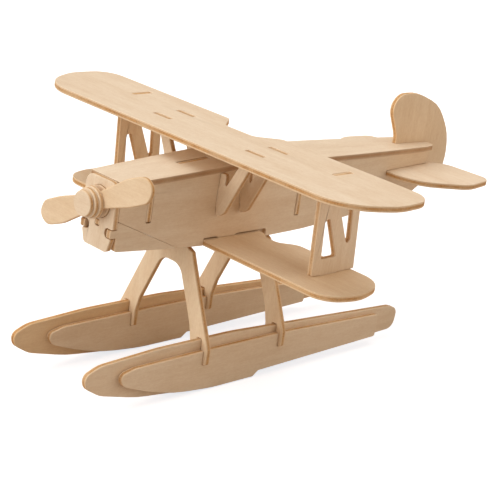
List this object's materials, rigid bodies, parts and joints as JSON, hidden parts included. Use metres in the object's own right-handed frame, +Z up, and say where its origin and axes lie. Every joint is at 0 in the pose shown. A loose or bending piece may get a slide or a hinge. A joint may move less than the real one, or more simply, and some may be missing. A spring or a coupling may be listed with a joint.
{
  "type": "plywood puzzle floatplane model",
  "caption": "Tabletop biplane seaplane slotted together from flat plywood plates, with N struts, V cabane struts, arched float legs, laminated floats and a propeller that spins.",
  "frame": {"origin": "On the resting plane under the float keels, on the centreline, half way between the float noses and the trailing edge of the fin", "axes": "+X to the plane's own left (port), -Y toward the nose, +Z up"},
  "size_m": [0.2102, 0.2494, 0.1183],
  "materials": {
    "upper_wing": "bare sanded plywood",
    "lower_wing": "bare sanded plywood",
    "fuselage_side_port": "bare sanded plywood",
    "fuselage_side_starboard": "bare sanded plywood",
    "cheek_port": "bare sanded plywood",
    "cheek_starboard": "bare sanded plywood",
    "nose_plate": "bare sanded plywood",
    "nose_boss": "bare sanded plywood",
    "fuselage_deck_front": "bare sanded plywood",
    "fuselage_deck_rear": "bare sanded plywood",
    "centre_keel": "bare sanded plywood",
    "former_front": "bare sanded plywood",
    "former_rear": "bare sanded plywood",
    "fin": "bare sanded plywood",
    "stabiliser": "bare sanded plywood",
    "cabane_front_port": "bare sanded plywood",
    "cabane_front_starboard": "bare sanded plywood",
    "cabane_rear_port": "bare sanded plywood",
    "cabane_rear_starboard": "bare sanded plywood",
    "interplane_strut_port": "bare sanded plywood",
    "interplane_strut_starboard": "bare sanded plywood",
    "float_frame_front": "bare sanded plywood",
    "float_frame_rear": "bare sanded plywood",
    "port_float_core": "bare sanded plywood",
    "port_float_inner": "bare sanded plywood",
    "port_float_outer": "bare sanded plywood",
    "starboard_float_core": "bare sanded plywood",
    "starboard_float_inner": "bare sanded plywood",
    "starboard_float_outer": "bare sanded plywood",
    "propeller": "bare sanded plywood",
    "hub_disc_rear": "bare sanded plywood",
    "hub_disc_front": "bare sanded plywood",
    "hub_cap": "bare sanded plywood",
    "propeller_shaft": "bare sanded plywood",
    "shaft_collar": "bare sanded plywood"
  },
  "bodies": {
    "airframe": {"upper_wing": "upper_wing", "lower_wing": "lower_wing", "fuselage_side_port": "fuselage_side_port", "fuselage_side_starboard": "fuselage_side_starboard", "cheek_port": "cheek_port", "cheek_starboard": "cheek_starboard", "nose_plate": "nose_plate", "nose_boss": "nose_boss", "fuselage_deck_front": "fuselage_deck_front", "fuselage_deck_rear": "fuselage_deck_rear", "centre_keel": "centre_keel", "former_front": "former_front", "former_rear": "former_rear", "fin": "fin", "stabiliser": "stabiliser", "cabane_front_port": "cabane_front_port", "cabane_front_starboard": "cabane_front_starboard", "cabane_rear_port": "cabane_rear_port", "cabane_rear_starboard": "cabane_rear_starboard", "interplane_strut_port": "interplane_strut_port", "interplane_strut_starboard": "interplane_strut_starboard", "float_frame_front": "float_frame_front", "float_frame_rear": "float_frame_rear", "port_float_core": "port_float_core", "port_float_inner": "port_float_inner", "port_float_outer": "port_float_outer", "starboard_float_core": "starboard_float_core", "starboard_float_inner": "starboard_float_inner", "starboard_float_outer": "starboard_float_outer"},
    "propeller_assembly": {"propeller": "propeller", "hub_disc_rear": "hub_disc_rear", "hub_disc_front": "hub_disc_front", "hub_cap": "hub_cap", "propeller_shaft": "propeller_shaft", "shaft_collar": "shaft_collar"}
  },
  "joints": [
    {"name": "propeller_spin", "type": "hinge", "parent": "airframe", "child": "propeller_assembly", "pos_m": [0, -0.1071, 0.0845], "axis": [0, 1, 0], "continuous": true}
  ]
}
